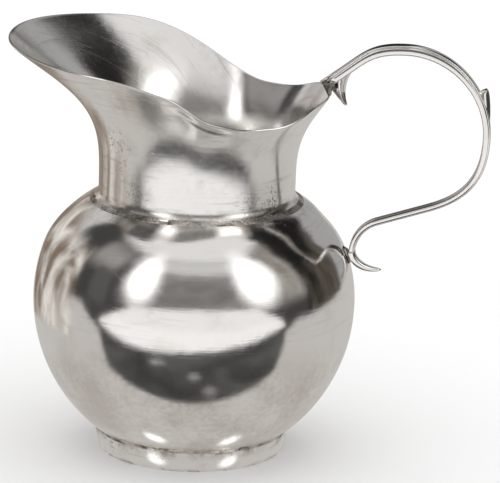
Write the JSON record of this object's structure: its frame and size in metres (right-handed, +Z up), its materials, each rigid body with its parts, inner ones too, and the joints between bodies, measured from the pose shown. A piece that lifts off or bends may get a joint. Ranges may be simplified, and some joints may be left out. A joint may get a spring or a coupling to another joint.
{
  "type": "water pitcher",
  "caption": "Round silver water pitcher on a foot ring, with a flared neck, a wide pouring spout and a ribbed arched handle with small horn spurs.",
  "frame": {"origin": "centre of the foot ring's lower face, on the bowl's axis at table height", "axes": "+Z up along the bowl's axis, +X towards the handle, -X towards the spout's tip, +Y across"},
  "size_m": [0.2234, 0.15, 0.1969],
  "materials": {
    "silver_body": "polished sterling silver, worn, with fine scratches and shallow dents",
    "silver_foot": "polished silver, a little dulled by tarnish",
    "silver_neck": "polished outside, brushed round the inside of the mouth",
    "silver_cast": "cast silver, smoothed and polished, darker in the hollows",
    "solder": "dull, pitted, tarnished silver solder"
  },
  "bodies": {
    "root": {"bowl": "silver_body", "foot_ring": "silver_foot", "neck_and_spout": "silver_neck", "handle": "silver_cast", "thumb_spur": "silver_cast", "upper_spur": "silver_cast", "lower_spur": "silver_cast", "neck_seam_solder": "solder", "foot_seam_solder": "solder", "upper_handle_solder": "solder", "lower_handle_solder": "solder"}
  },
  "joints": []
}
